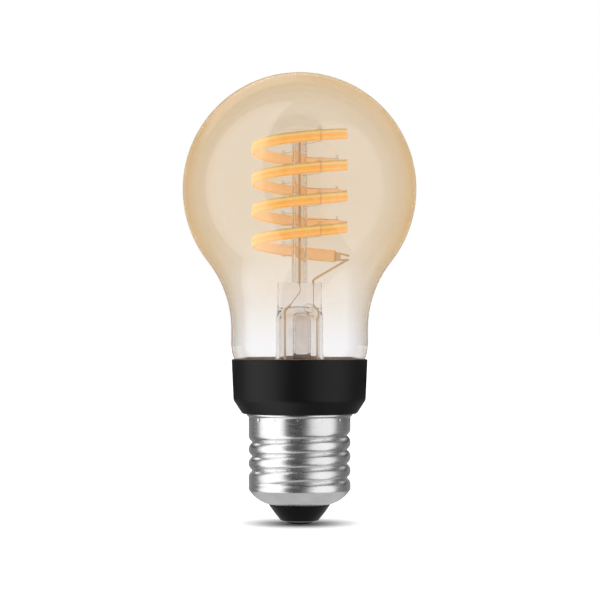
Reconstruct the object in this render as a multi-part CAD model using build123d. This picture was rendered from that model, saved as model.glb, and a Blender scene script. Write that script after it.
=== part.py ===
from build123d import *
import math
import os

os.makedirs("parts", exist_ok=True)

# Dual-white filament bulb: a round clear envelope on a screw cap, with a spiral light
# strip, and its control electronics in the collar and the cap. Millimetres.
# The bulb's axis is Z, its centre contact touches Z = 0, the glass is at the top,
# and -Y is the front.

# Screw cap
crest_radius = 13.15
thread_pitch = 3.629
thread_depth = 1.0
thread_turns = 3
groove_width = 1.9
groove_root_width = 0.6
groove_fade = 70.0
groove_early_turn = 0.26
groove_late_turn = 0.06
thick_below_pitch = 0.63
thick_above_pitch = 0.38
rib_early_turn = 1.1
rib_late_turn = 1.3
lower_band = 3.0
upper_band = 4.7
shell_wall = 0.3
rim_flare = 0.5
rim_height = 0.8
dome_height = 3.85
dome_bulge = 0.64
lip_radius = 7.9
insulator_foot_radius = 4.85
insulator_height = 4.25
insulator_bulge = 0.1
insulator_inner_depth = 2.0
insulator_inner_radius = 10.3
contact_radius = 3.75
contact_flat_radius = 2.75
contact_height = 1.0
contact_edge = 0.3
contact_hole_radius = 1.0

# Collar
collar_height = 14.05
collar_lip_wall = 0.55
collar_draft = 0.47
collar_knee_height = 3.55
collar_foot_step = 1.12
collar_foot_round = 0.5
collar_wall = 1.4
collar_floor = 1.4
collar_lip_depth = 0.6
collar_seat_depth = 1.7
spigot_height = 3.7
spigot_wall = 1.2

# Glass
globe_radius = 30.5
shoulder_radius = 28.05
neck_radius = 17.65
neck_height = 3.7
neck_above_collar = 3.65
seal_round = 8.8
seal_radius = 10.9
glass_wall = 0.75
cement_bead = 0.35
cement_width = 0.3

# Stem
stem_radius = 6.1
stem_wall = 0.8
flare_height = 6.5
flare_mid_width = 0.3
flare_mid_height = 0.32
stem_tube_height = 14.8
press_neck_height = 3.2
press_width = 11.5
press_depth = 3.8
press_height = 6.15
press_round = 0.8
throat_wall = 1.2
throat_half_depth = 0.8
throat_below_press = 0.8
exhaust_radius = 2.35
exhaust_wall = 0.6
exhaust_offset = 0.6
exhaust_length = 20.9
exhaust_in_press = 1.1
exhaust_tip_radius = 0.82
exhaust_tip_blunt = 0.2
exhaust_tip_length = 2.2
port_radius = 1.2
port_offset = 2.2
post_radius = 2.0
post_bore_radius = 1.27
post_length = 36.75
lead_radius = 0.3
left_lead_offset = 3.8
left_bend_low = 1.3
left_bend_middle = 0.9
left_bend_high = 2.2
left_end_upright = 0.6
right_lead_offset = 4.5
right_lead_inset = 1.0
right_bend_low = 1.7
right_bend_middle = 0.1
right_rise = 0.75

# Light strip, a right-handed spiral about the post
coil_radius = 12.0
coil_pitch = 8.045
coil_turns = 3.893
coil_above_post = 1.65
strip_height = 2.8
carrier_height = 2.5
carrier_thickness = 0.15
front_coat = 0.385
rear_coat = 0.385
chip_width = 0.9
chip_height = 0.5
chip_thickness = 0.2
chips_per_turn = 6
terminal_length = 5.5
terminal_height = 2.1
terminal_tip_height = 1.3
terminal_thickness = 0.25
fork_slot = 0.8
fork_tip_slot = 0.4
fork_length = 3.6
upper_weld_reach = 3.74
lower_weld_reach = 4.9
conductor_rise = 0.8
support_radius = 0.09
support_angles = (-64.5, 111.3, 35.0)

# Driver
board_thickness = 1.0
board_bottom = 9.6
board_height = 21.4
sleeve_wall = 0.2
sleeve_length = 20.0
capacitor_radius = 3.5
capacitor_length = 11.0
choke_radius = 3.0
choke_length = 6.5
choke_waist = 1.6
choke_flange = 1.0
film_size = (7.0, 3.0, 6.0)
fuse_radius = 1.2
fuse_length = 6.5
fuse_chamfer = 0.3
bridge_size = (4.7, 1.6, 4.0)
driver_chip_size = (4.9, 1.5, 3.9)
resistor_size = (2.0, 0.6, 1.25)
resistor_columns = 2
resistor_rows = 4
resistor_pitch = (3.0, 2.4)
module_size = (14.0, 0.8, 17.0)
module_lift = 7.9
module_stand_off = 3.4
shield_size = (10.0, 1.6, 8.5)
shield_wall = 0.2
shield_lift = 1.5
radio_chip_size = (5.0, 0.9, 5.0)
radio_chip_lift = 3.2
antenna_track = 0.6
antenna_thickness = 0.1
antenna_height = 3.6
antenna_margin = 1.0
antenna_top_gap = 0.4
antenna_folds = 4
pin_size = 0.5
pin_pitch = 2.0
pin_count = 5
pin_lift = 0.6
wire_radius = 0.35
neutral_inset = 3.8
neutral_length = 2.5
barrel_wall = 0.35
barrel_length = 2.0
lead_in_barrel = 1.6

# Places on the driver board: inset from the nearer side, lift above the lower edge
capacitor_place = (2.6, 1.0)
choke_place = (3.7, 2.0)
film_place = (3.1, 10.0)
fuse_place = (6.7, 13.6)
bridge_place = (2.8, 1.2)
resistor_place = (1.7, 10.5)
driver_chip_x = -2.6
cool_driver_lift = 2.0
warm_driver_lift = 11.5

# Clearances
fit = 0.05
joint = 0.02
cement_gap = 0.15

# Places that follow from the sizes above
lip_z = contact_height + insulator_height
band_z = lip_z + dome_height
root_z = band_z + lower_band
thread_top = root_z + thread_turns * thread_pitch
flare_z = thread_top + upper_band
rim_z = flare_z + rim_height
bore_radius = crest_radius - shell_wall
spigot_radius = bore_radius - fit
sleeve_radius = spigot_radius - spigot_wall - fit
collar_z = rim_z + fit
collar_top = collar_z + collar_height
seal_centre = (neck_radius - seal_round, collar_top + neck_above_collar)
shoulder_centre = (neck_radius + shoulder_radius, seal_centre[1] + neck_height)
reach = globe_radius + shoulder_radius
collar_mouth_radius = seal_centre[0] + math.sqrt(seal_round**2 - neck_above_collar**2) + cement_gap
collar_top_radius = collar_mouth_radius + collar_lip_wall
collar_knee_radius = collar_top_radius - collar_draft
collar_foot_radius = crest_radius + rim_flare + collar_foot_step
globe_z = shoulder_centre[1] + math.sqrt(reach**2 - shoulder_centre[0] ** 2)
meeting_angle = math.degrees(math.asin((globe_z - shoulder_centre[1]) / reach))
seal_angle = math.degrees(math.acos((seal_radius - seal_centre[0]) / seal_round))
seal_z = seal_centre[1] - seal_round * math.sin(math.radians(seal_angle))
stem_top = seal_z + glass_wall + stem_tube_height
press_bottom = stem_top + press_neck_height
press_top = press_bottom + press_height
post_top = press_top + joint + post_length
coil_top = post_top + coil_above_post
coil_bottom = coil_top - coil_pitch * coil_turns
coil_start_angle = -360 * (coil_turns % 1)
climb_angle = math.degrees(math.atan2(coil_pitch, 2 * math.pi * coil_radius))
board_face = board_thickness / 2
board_half_width = sleeve_radius - sleeve_wall - fit
board_top = board_bottom + board_height
lead_bottom = board_top + barrel_length - lead_in_barrel


def save(name, shape):
    """Write one sub-part; the file is named after the piece."""
    export_step(shape, f"parts/{name}.step")


def axial(*pieces):
    """Closed outline of (radius, height) as a face in the XZ plane."""
    edges = [edge for piece in pieces for edge in piece.edges()]
    return Plane.XZ * make_face(edges)


def turned(*pieces):
    """Turn a closed outline of (radius, height) about the bulb's axis."""
    return revolve(axial(*pieces), Axis.Z)


def tube(outer, inner, low, high):
    """Straight tube on the bulb's axis."""
    wall = Cylinder(outer, high - low) - Cylinder(inner, high - low)
    return Pos(Z=(low + high) / 2) * wall


def block(size, x, y, z):
    """Box with its lowest corner at a point."""
    return Pos(x, y, z) * Box(*size, align=Align.MIN)


def wire(points, radius):
    """Wire along straight runs with mitred corners, kept light as a six-sided section."""
    path = Polyline(*points)
    section = Plane(origin=path @ 0, z_dir=path % 0) * RegularPolygon(radius, 6)
    return sweep(section, path, transition=Transition.RIGHT)


# Screw cap


def dome_point(inset, radius):
    """Point of the cap's rounded foot, moved inwards by an inset, at a given radius."""
    run = crest_radius - lip_radius
    chord = math.hypot(run, dome_height)
    circle = (chord**2 / 4 + dome_bulge**2) / (2 * dome_bulge)
    lean = (circle - dome_bulge) / chord
    centre_r = (crest_radius + lip_radius) / 2 - dome_height * lean
    centre_z = (band_z + lip_z) / 2 + run * lean
    drop = math.sqrt((circle - inset) ** 2 - (radius - centre_r) ** 2)
    return (radius, centre_z - drop)


def dome_arc(inset, start, end):
    """Arc of the cap's rounded foot between two radii."""
    return ThreePointArc(
        dome_point(inset, start),
        dome_point(inset, (start + end) / 2),
        dome_point(inset, end),
    )


def climbing_cutter(points, start_turn, end_turn):
    """Cutter whose (radius, height) outline climbs with the thread from turn to turn."""
    turns = end_turn - start_turn
    path = Helix(thread_pitch, thread_pitch * turns, crest_radius)
    cutter = sweep(axial(Polyline(*points, close=True)), path, is_frenet=True)
    return Pos(Z=root_z + start_turn * thread_pitch) * Rot(Z=360 * start_turn) * cutter


def groove_outline(depth):
    """Groove between two thread crests, open outwards, for a given depth."""
    flat = groove_root_width / 2
    slope = (groove_width - groove_root_width) / 2 / thread_depth
    proud = 0.6
    mouth = flat + slope * (depth + proud)
    return [
        (crest_radius - depth, -flat),
        (crest_radius - depth, flat),
        (crest_radius + proud, mouth),
        (crest_radius + proud, -mouth),
    ]


def groove_run_out(turn, side):
    """End of the groove, which rises to the surface over a part of a turn."""
    sections = []
    steps = 5
    for step in range(steps + 1):
        share = step / steps
        depth = thread_depth * (1 - share) ** 1.5 - 2 * fit * share
        place = turn + side * share * groove_fade / 360
        face = axial(Polyline(*groove_outline(depth), close=True))
        sections.append(Pos(Z=root_z + place * thread_pitch) * Rot(Z=360 * place) * face)
    return loft(sections)


def shell_blank(low, high):
    """Drawn cup: flared rim, plain wall, rounded foot; thick where the thread is rolled."""
    thick = bore_radius - thread_depth
    wall = Polyline(
        (crest_radius, band_z),
        (crest_radius, flare_z),
        (crest_radius + rim_flare, rim_z),
        (crest_radius + rim_flare - shell_wall, rim_z),
        (bore_radius, flare_z),
        (bore_radius, high),
        (thick, high),
        (thick, low),
        (bore_radius, low),
        dome_point(shell_wall, bore_radius),
    )
    lip = Line(dome_point(shell_wall, lip_radius), dome_point(0, lip_radius))
    outside = dome_arc(0, lip_radius, crest_radius)
    inside = dome_arc(shell_wall, bore_radius, lip_radius)
    return turned(outside, wall, inside, lip)


def screw_shell():
    """Rolled screw shell: a groove outside and its rib inside, one wall thick."""
    first, last = -groove_early_turn, thread_turns + groove_late_turn
    low = root_z - thick_below_pitch * thread_pitch
    high = thread_top + thick_above_pitch * thread_pitch
    shell = shell_blank(low, high)
    shell -= climbing_cutter(groove_outline(thread_depth), first, last)
    shell -= groove_run_out(first, -1)
    shell -= groove_run_out(last, 1)
    slope = (groove_width - groove_root_width) / 2 / thread_depth
    crest_half = (thread_pitch - groove_width) / 2 - shell_wall * 0.7
    root_half = crest_half + slope * (thread_depth + shell_wall)
    deep = bore_radius - thread_depth - shell_wall
    relief = [
        (bore_radius - fit, -crest_half),
        (bore_radius - fit, crest_half),
        (deep, root_half),
        (deep, -root_half),
    ]
    cutter = climbing_cutter(relief, -rib_early_turn, thread_turns + rib_late_turn)
    inside = Pos(Z=-thread_pitch / 2) * cutter
    band = tube(crest_radius, bore_radius - 2 * thread_depth, low, high)
    return shell - (inside & band)


def cap_insulator():
    """Moulded insulator that fills the foot of the shell and carries the contact."""
    inset = shell_wall + joint
    hole = wire_radius + fit
    foot_z = contact_height + joint
    top = lip_z + insulator_inner_depth
    waist = (insulator_foot_radius + lip_radius) / 2
    outline = Polyline(
        (hole, foot_z),
        (insulator_foot_radius, foot_z),
        (waist + insulator_bulge, (foot_z + lip_z) / 2 - insulator_bulge),
        (lip_radius - joint, lip_z - joint),
        dome_point(inset, lip_radius - joint),
        dome_point(inset + 2 * fit, insulator_inner_radius),
        (insulator_inner_radius, top),
        (hole, top),
        close=True,
    )
    return turned(outline)


def centre_contact():
    """Domed metal eyelet at the tip, with a soldering hole."""
    outline = Polyline(
        (contact_hole_radius, 0),
        (contact_flat_radius, 0),
        (contact_radius - contact_edge, contact_edge),
        (contact_radius, contact_height),
        (contact_hole_radius, contact_height),
        close=True,
    )
    return turned(outline)


def contact_solder():
    """Solder that fills the contact's hole and holds the live wire."""
    radius = contact_hole_radius - joint
    return Pos(Z=contact_height / 2) * Cylinder(radius, contact_height)


# Collar


def glass_outside(height):
    """Outer radius of the glass where it curves in to the seal."""
    drop = seal_centre[1] - height
    return seal_centre[0] + math.sqrt(seal_round**2 - drop**2)


def collar_mouth():
    """Inner outline of the collar's mouth, from the seat up to the lip."""
    seat_z = collar_top - collar_seat_depth
    return [
        (glass_outside(seat_z) + cement_gap, seat_z),
        (collar_mouth_radius, collar_top - collar_lip_depth),
        (collar_mouth_radius, collar_top),
    ]


def collar():
    """Moulded collar: tapered cup with a chamfered foot and a spigot for the shell."""
    spigot_bore = spigot_radius - spigot_wall
    floor_z = collar_z + collar_floor
    points = [
        (collar_top_radius, collar_top),
        (collar_knee_radius, collar_z + collar_knee_height),
        (collar_foot_radius, collar_z),
        (spigot_radius, collar_z),
        (spigot_radius, collar_z - spigot_height),
        (spigot_bore, collar_z - spigot_height),
        (spigot_bore, floor_z),
        (collar_foot_radius - 0.4 * collar_wall, floor_z),
        (collar_knee_radius - collar_wall, collar_z + collar_knee_height),
        *collar_mouth(),
    ]
    rounds = [0, 0, collar_foot_round] + [0] * (len(points) - 3)
    return turned(FilletPolyline(*points, radius=rounds, close=True))


def neck_cement():
    """Ring of cement between the glass and the collar, with a bead above the lip."""
    seat, shelf, lip = collar_mouth()
    bead_z = collar_top + cement_bead
    middle_z = (seat[1] + bead_z) / 2
    outside = Polyline(
        (glass_outside(seat[1]) + joint, seat[1]),
        (seat[0] - joint, seat[1]),
        (shelf[0] - joint, shelf[1]),
        (lip[0] - joint, lip[1] + joint),
        (lip[0] + cement_width, lip[1] + joint),
        (glass_outside(bead_z) + joint, bead_z),
    )
    inside = ThreePointArc(
        (glass_outside(bead_z) + joint, bead_z),
        (glass_outside(middle_z) + joint, middle_z),
        (glass_outside(seat[1]) + joint, seat[1]),
    )
    return turned(outside, inside)


# Glass


def glass_envelope():
    """Blown globe with a concave shoulder, a short neck and a rounded-in sealing edge."""
    inner_globe = globe_radius - glass_wall
    inner_neck = neck_radius - glass_wall
    pole, neck_z = globe_z + globe_radius, shoulder_centre[1]
    sweep_angle = 90 + meeting_angle
    pieces = [
        CenterArc((0, globe_z), globe_radius, -meeting_angle, sweep_angle),
        CenterArc(
            shoulder_centre, shoulder_radius, 180 - meeting_angle, meeting_angle
        ),
        Line((neck_radius, neck_z), (neck_radius, seal_centre[1])),
        CenterArc(seal_centre, seal_round, -seal_angle, seal_angle),
        CenterArc((0, globe_z), inner_globe, -meeting_angle, sweep_angle),
        CenterArc(
            shoulder_centre, shoulder_radius + glass_wall, 180 - meeting_angle, meeting_angle
        ),
        Line((inner_neck, neck_z), (inner_neck, seal_centre[1])),
        CenterArc(seal_centre, seal_round - glass_wall, -seal_angle, seal_angle),
    ]
    edge = Line(pieces[3] @ 0, pieces[7] @ 0)
    crown = Line((0, pole), (0, pole - glass_wall))
    return turned(*pieces, edge, crown)


def left_lead_points():
    """Route of the left lead: up the tube, then inwards through the press to the post."""
    return [
        (-left_lead_offset, 0, lead_bottom),
        (-left_lead_offset, 0, stem_top + left_bend_low),
        (-left_lead_offset / 2, 0, press_bottom + left_bend_middle),
        (lead_radius, 0, press_top - left_bend_high),
        (0, 0, press_top - left_end_upright),
        (0, 0, press_top + joint),
    ]


def right_lead_points():
    """Route of the right lead: up the tube, through the press and across to the terminal."""
    inner = right_lead_offset - right_lead_inset
    inset = -terminal_thickness / 2 - lead_radius - fit
    tip = (terminal_place() * Pos(inset, -lower_weld_reach, -terminal_tip_height / 2)).position
    return [
        (right_lead_offset, 0, lead_bottom),
        (right_lead_offset, 0, stem_top + right_bend_low),
        (inner, 0, press_bottom + right_bend_middle),
        (inner, 0, press_top + right_rise),
        (tip.X, tip.Y, tip.Z),
    ]


def stem_tube():
    """Stem: flared tube drawn flat into a press, bored for the leads and the exhaust."""
    rim = seal_radius - glass_wall * 0.25 - fit
    flare_z_low, flare_z_high = seal_z, seal_z + glass_wall
    tube_z = flare_z_high + flare_height
    inner = stem_radius - stem_wall
    flare_mid = flare_height * flare_mid_height
    upper = ThreePointArc(
        (stem_radius, tube_z),
        (stem_radius + (rim - stem_radius) * flare_mid_width, flare_z_high + flare_mid),
        (rim, flare_z_high),
    )
    lower = ThreePointArc(
        (rim, flare_z_low),
        (inner + (rim - inner) * flare_mid_width, flare_z_low + flare_mid),
        (inner, tube_z),
    )
    side = Polyline((inner, tube_z), (inner, stem_top), (stem_radius, stem_top), (stem_radius, tube_z))
    body = turned(upper, Line(upper @ 1, lower @ 0), lower, side)
    flat = Ellipse(press_width / 2, press_depth / 2)
    body += loft([Pos(Z=stem_top) * Circle(stem_radius), Pos(Z=press_bottom) * flat])
    body += Pos(Z=press_bottom) * extrude(flat, press_height - press_round)
    crown = Ellipse(press_width / 2 - press_round, press_depth / 2 - press_round)
    body += loft([Pos(Z=press_top - press_round) * flat, Pos(Z=press_top) * crown])
    throat = Ellipse(press_width / 2 - throat_wall, throat_half_depth)
    throat_z = press_bottom - throat_below_press
    body -= loft([Pos(Z=stem_top) * Circle(inner), Pos(Z=throat_z) * throat])
    body -= wire(left_lead_points()[1:], lead_radius + joint)
    body -= wire(right_lead_points()[1:4], lead_radius + joint)
    port = Pos(port_offset, 0, throat_z) * Sphere(port_radius)
    return body - port


def exhaust_tube():
    """Exhaust tube, hung from the press and tipped off to a point."""
    top = stem_top + exhaust_in_press
    low = top - exhaust_length
    inner = exhaust_radius - exhaust_wall
    outline = Polyline(
        (0, low),
        (exhaust_tip_radius, low + exhaust_tip_blunt),
        (exhaust_radius, low + exhaust_tip_length),
        (exhaust_radius, top),
        (inner, top),
        (inner, low + exhaust_tip_length + exhaust_wall / 2),
        (0, low + 2 * exhaust_wall),
        close=True,
    )
    return Pos(X=exhaust_offset) * turned(outline)


def support_post():
    """Glass tube on the press that carries the brackets, with the conductor inside."""
    return tube(post_radius, post_bore_radius, press_top + joint, post_top)


def post_conductor():
    """Conductor up the post and across to the strip's top terminal."""
    start = press_top + 2 * joint
    inset = -terminal_thickness / 2 - lead_radius - fit
    tip = (top_terminal_place() * Pos(inset, upper_weld_reach, 0)).position
    points = [(0, 0, start), (0, 0, post_top + conductor_rise), (tip.X, tip.Y, tip.Z)]
    return wire(points, lead_radius)


# Light strip


def coil_layer(*points):
    """Layer of the strip: a (radius, height) outline swept up the spiral."""
    path = Helix(coil_pitch, coil_pitch * coil_turns, coil_radius)
    layer = sweep(axial(Polyline(*points, close=True)), path, is_frenet=True)
    return Pos(Z=coil_bottom) * Rot(Z=coil_start_angle) * layer


def filament_carrier():
    """Thin flexible strip that carries the light-emitting chips."""
    inner = coil_radius - carrier_thickness / 2
    outer = coil_radius + carrier_thickness / 2
    half = carrier_height / 2
    return coil_layer((inner, -half), (outer, -half), (outer, half), (inner, half))


def phosphor_line(side):
    """One phosphor line on the strip's outer face, above (1) or below (-1) the middle."""
    back = coil_radius + carrier_thickness / 2 + joint
    front = back + front_coat
    low, high = joint, strip_height / 2
    pocket = back + chip_thickness + 2 * fit
    step = (low + high) / 2 + chip_height / 2 + fit
    return coil_layer(
        (front, side * low),
        (front, side * high),
        (back, side * high),
        (back, side * step),
        (pocket, side * step),
        (pocket, side * low),
    )


def rear_phosphor():
    """Phosphor coat on the strip's inner face."""
    back = coil_radius - carrier_thickness / 2 - joint
    front = back - rear_coat
    half = strip_height / 2
    return coil_layer((front, -half), (back, -half), (back, half), (front, half))


def led_chips(side):
    """Row of light-emitting chips under one phosphor line."""
    back = coil_radius + carrier_thickness / 2 + joint
    height = side * (joint + strip_height / 2) / 2
    chip = Rot(X=climb_angle) * Box(chip_thickness, chip_width, chip_height)
    count = int(coil_turns * chips_per_turn)
    row = []
    for index in range(count):
        turn = (index + 0.5) / chips_per_turn
        place = Pos(Z=coil_bottom + turn * coil_pitch) * Rot(Z=coil_start_angle + 360 * turn)
        row.append(place * Pos(X=back + chip_thickness / 2, Z=height) * chip)
    return Compound(children=row)


def terminal_place():
    """Place of the strip's lower end, X outwards and Y back along the strip."""
    return Pos(Z=coil_bottom) * Rot(Z=coil_start_angle) * Pos(X=coil_radius) * Rot(X=climb_angle)


def top_terminal_place():
    """Place of the strip's upper end, X outwards and Y on along the strip."""
    return Pos(Z=coil_top) * Pos(X=coil_radius) * Rot(X=climb_angle)


def tapered_plate(start, start_height, end, end_height):
    """Metal plate as thick as a terminal that lies along Y and tapers between two heights."""
    low, high = start_height / 2, end_height / 2
    outline = Polyline((start, -low), (end, -high), (end, high), (start, low), close=True)
    return extrude(Plane.YZ * make_face(outline), terminal_thickness / 2, both=True)


def terminal(side):
    """Forked metal tab on an end of the strip, which narrows away from it along Y."""
    root = side * (joint + carrier_thickness)
    tip = root + side * terminal_length
    fork = tip - side * fork_length
    tab = tapered_plate(root, terminal_height, tip, terminal_tip_height)
    return tab - tapered_plate(fork, fork_slot, tip, fork_tip_slot)


def filament_support():
    """Wire bracket from the post round the outside of the strip, in the XZ plane."""
    start = post_radius + fit
    outside = coil_radius + carrier_thickness / 2 + front_coat + support_radius + fit
    inside = coil_radius - carrier_thickness / 2 - rear_coat - support_radius - fit
    edge = strip_height / 2 + support_radius + 2 * fit
    points = [
        (start, 0, -edge),
        (outside, 0, -edge),
        (outside, 0, edge),
        (inside, 0, edge),
        (start, 0, -fit),
    ]
    return wire(points, support_radius)


def save_supports():
    """Brackets at three angles round the post, one for each turn of the strip there."""
    bracket = filament_support()
    number = 0
    for angle in support_angles:
        turns_below_top = (-angle % 360) / 360
        while turns_below_top < coil_turns:
            number += 1
            z = coil_top - coil_pitch * turns_below_top
            save(f"filament_support_{number}", Pos(Z=z) * Rot(Z=angle) * bracket)
            turns_below_top += 1


# Driver


def driver_board():
    """Upright driver board, as wide as its sleeve."""
    size = (2 * board_half_width, board_thickness, board_height)
    return block(size, -board_half_width, -board_face, board_bottom)


def insulating_sleeve():
    """Thin insulating sleeve between the board and the cap."""
    return tube(
        sleeve_radius, sleeve_radius - sleeve_wall, board_bottom, board_bottom + sleeve_length
    )


def front_cylinder(radius, length, place):
    """Upright round component against the board's front face, near its left side."""
    inset, lift = place
    x = -board_half_width + inset + radius
    y = -board_face - joint - radius
    return Pos(x, y, board_bottom + lift + length / 2) * Cylinder(radius, length)


def film_capacitor():
    """Boxed film capacitor against the board's front face, near its right side."""
    inset, lift = film_place
    x = board_half_width - inset - film_size[0]
    return block(film_size, x, -board_face - joint - film_size[1], board_bottom + lift)


def choke():
    """Ferrite drum and the copper winding round its waist."""
    inset, lift = choke_place
    x = board_half_width - inset - choke_radius
    y = -board_face - joint - choke_radius
    low = board_bottom + lift
    high = low + choke_length
    drum = Pos(x, y, 0) * turned(
        Polyline(
            (0, low),
            (choke_radius, low),
            (choke_radius, low + choke_flange),
            (choke_waist, low + choke_flange),
            (choke_waist, high - choke_flange),
            (choke_radius, high - choke_flange),
            (choke_radius, high),
            (0, high),
            close=True,
        )
    )
    winding = Pos(x, y, 0) * tube(
        choke_radius - 2 * fit,
        choke_waist + joint,
        low + choke_flange + joint,
        high - choke_flange - joint,
    )
    return drum, winding


def fusible_resistor():
    """Flameproof resistor body in the live feed, lying on the board."""
    body = front_cylinder(fuse_radius, fuse_length, fuse_place)
    return chamfer(body.edges().filter_by(GeomType.CIRCLE), fuse_chamfer)


def rear_block(size, x, lift):
    """Component soldered flat on the board's rear face."""
    return block(size, x, board_face + joint, board_bottom + lift)


def bridge_rectifier():
    """Bridge rectifier on the board's rear face, near its left side."""
    inset, lift = bridge_place
    return rear_block(bridge_size, -board_half_width + inset, lift)


def chip_resistors():
    """Columns of chip resistors on the board's rear face."""
    inset, lift = resistor_place
    row = []
    for column in range(resistor_columns):
        x = -board_half_width + inset + column * resistor_pitch[0]
        for index in range(resistor_rows):
            row.append(rear_block(resistor_size, x, lift + index * resistor_pitch[1]))
    return Compound(children=row)


module_bottom = board_bottom + module_lift
module_back = board_face + module_stand_off
module_front = module_back + module_size[1]
module_top = module_bottom + module_size[2]


def radio_module():
    """Radio module's own small board, standing behind the driver board."""
    return block(module_size, -module_size[0] / 2, module_back, module_bottom)


def radio_shield():
    """Drawn metal can over the radio chip, open towards its board."""
    x = -shield_size[0] / 2
    z = module_bottom + shield_lift
    can = block(shield_size, x, module_front + joint, z)
    width, depth, height = shield_size
    inside = (width - 2 * shield_wall, depth - shield_wall, height - 2 * shield_wall)
    return can - block(inside, x + shield_wall, module_front + joint, z + shield_wall)


def radio_chip():
    """Radio chip under its shield."""
    x = -radio_chip_size[0] / 2
    return block(radio_chip_size, x, module_front + joint, module_bottom + radio_chip_lift)


def antenna_trace():
    """Copper track folded to and fro at the module's top, above the metal cap."""
    step = (module_size[0] - 2 * antenna_margin - antenna_track) / (2 * antenna_folds)
    low = module_top - antenna_height - antenna_top_gap
    y = module_front + joint
    upright = (antenna_track, antenna_thickness, antenna_height)
    link = (step + antenna_track, antenna_thickness, antenna_track)
    x = -module_size[0] / 2 + antenna_margin
    track = block(upright, x, y, low)
    for index in range(2 * antenna_folds):
        z = low + (antenna_height - antenna_track) * ((index + 1) % 2)
        track += block(link, x + index * step, y, z)
        track += block(upright, x + (index + 1) * step, y, low)
    return track


def module_pins():
    """Pins that join the radio module to the driver board."""
    size = (pin_size, module_stand_off - 2 * joint, pin_size)
    row = []
    for index in range(pin_count):
        x = (index - (pin_count - 1) / 2) * pin_pitch - pin_size / 2
        row.append(block(size, x, board_face + joint, module_bottom + pin_lift))
    return Compound(children=row)


def lead_barrel(x):
    """Crimp barrel on the board's upper edge, round the end of a lead."""
    low = board_top + joint
    bore = lead_radius + joint
    return Pos(X=x) * tube(bore + barrel_wall, bore, low, low + barrel_length)


def live_wire():
    """Live wire from the contact's solder up to the board."""
    low, high = contact_height + 2 * joint, board_bottom - joint
    return Pos(Z=(low + high) / 2) * Cylinder(wire_radius, high - low)


def neutral_wire():
    """Neutral wire from the board's rear face out to the shell's foot."""
    x = board_half_width - neutral_inset
    y = board_face + joint + wire_radius
    z = board_bottom - 2 * wire_radius
    wall = crest_radius - 2 * shell_wall
    end = math.sqrt(wall**2 - (y + wire_radius) ** 2) - 3 * fit
    return wire([(x, y, board_bottom + neutral_length), (x, y, z), (end, y, z)], wire_radius)


save("screw_shell", screw_shell())
save("cap_insulator", cap_insulator())
save("centre_contact", centre_contact())
save("contact_solder", contact_solder())
save("collar", collar())
save("neck_cement", neck_cement())
save("glass_envelope", glass_envelope())
save("stem_tube", stem_tube())
save("exhaust_tube", exhaust_tube())
save("support_post", support_post())
save("post_conductor", post_conductor())
save("left_lead_wire", wire(left_lead_points(), lead_radius))
save("right_lead_wire", wire(right_lead_points(), lead_radius))
save("filament_carrier", filament_carrier())
save("cool_phosphor_line", phosphor_line(1))
save("warm_phosphor_line", phosphor_line(-1))
save("rear_phosphor", rear_phosphor())
save("cool_led_chips", led_chips(1))
save("warm_led_chips", led_chips(-1))
save("lower_terminal", terminal_place() * terminal(-1))
save("upper_terminal", top_terminal_place() * terminal(1))
save_supports()
save("driver_board", driver_board())
save("insulating_sleeve", insulating_sleeve())
save("filter_capacitor", front_cylinder(capacitor_radius, capacitor_length, capacitor_place))
drum, winding = choke()
save("choke_core", drum)
save("choke_winding", winding)
save("film_capacitor", film_capacitor())
save("fusible_resistor", fusible_resistor())
save("bridge_rectifier", bridge_rectifier())
save("cool_driver_chip", rear_block(driver_chip_size, driver_chip_x, cool_driver_lift))
save("warm_driver_chip", rear_block(driver_chip_size, driver_chip_x, warm_driver_lift))
save("chip_resistors", chip_resistors())
save("radio_module", radio_module())
save("radio_shield", radio_shield())
save("radio_chip", radio_chip())
save("antenna_trace", antenna_trace())
save("module_pins", module_pins())
save("left_lead_barrel", lead_barrel(-left_lead_offset))
save("right_lead_barrel", lead_barrel(right_lead_offset))
save("live_wire", live_wire())
save("neutral_wire", neutral_wire())
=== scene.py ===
import math

import bmesh
import bpy
import numpy as np
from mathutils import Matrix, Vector


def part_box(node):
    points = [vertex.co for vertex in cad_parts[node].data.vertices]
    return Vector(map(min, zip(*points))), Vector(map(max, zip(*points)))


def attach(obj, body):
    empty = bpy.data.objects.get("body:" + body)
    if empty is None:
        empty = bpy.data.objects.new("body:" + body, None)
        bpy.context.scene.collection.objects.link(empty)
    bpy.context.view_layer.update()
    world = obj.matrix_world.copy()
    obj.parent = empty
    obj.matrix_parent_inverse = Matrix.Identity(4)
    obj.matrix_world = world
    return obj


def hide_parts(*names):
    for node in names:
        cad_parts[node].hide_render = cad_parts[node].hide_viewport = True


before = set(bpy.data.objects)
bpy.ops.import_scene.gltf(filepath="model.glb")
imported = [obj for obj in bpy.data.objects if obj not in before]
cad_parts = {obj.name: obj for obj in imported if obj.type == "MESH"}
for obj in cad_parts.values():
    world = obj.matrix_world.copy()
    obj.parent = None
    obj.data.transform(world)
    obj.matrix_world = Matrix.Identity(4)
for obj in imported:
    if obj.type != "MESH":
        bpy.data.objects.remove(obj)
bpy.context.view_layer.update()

# A dual-white filament bulb, put together from its foot to its glass.
# Lengths are in millimetres until a mesh is written. The bulb's axis is Z.


# --- Centre contact and its solder
# A small nickel-plated disc pressed into the insulator at the bulb's tip. The live wire
# comes through its middle and is held there by a drop of solder.


def packed_box(name):
    """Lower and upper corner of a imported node, in millimetres."""
    return [1000 * np.array(corner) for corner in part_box(name)]


def joined(*measures):
    """Points put together from their measures, such as x, y and z."""
    return np.stack(np.broadcast_arrays(*measures), axis=-1)


def around(radius, turn, height):
    """Points round the bulb's axis: x and y are the radius times the cosine and the sine of
    the turn, and z is the height."""
    return joined(radius * np.cos(turn), radius * np.sin(turn), height)


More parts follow.
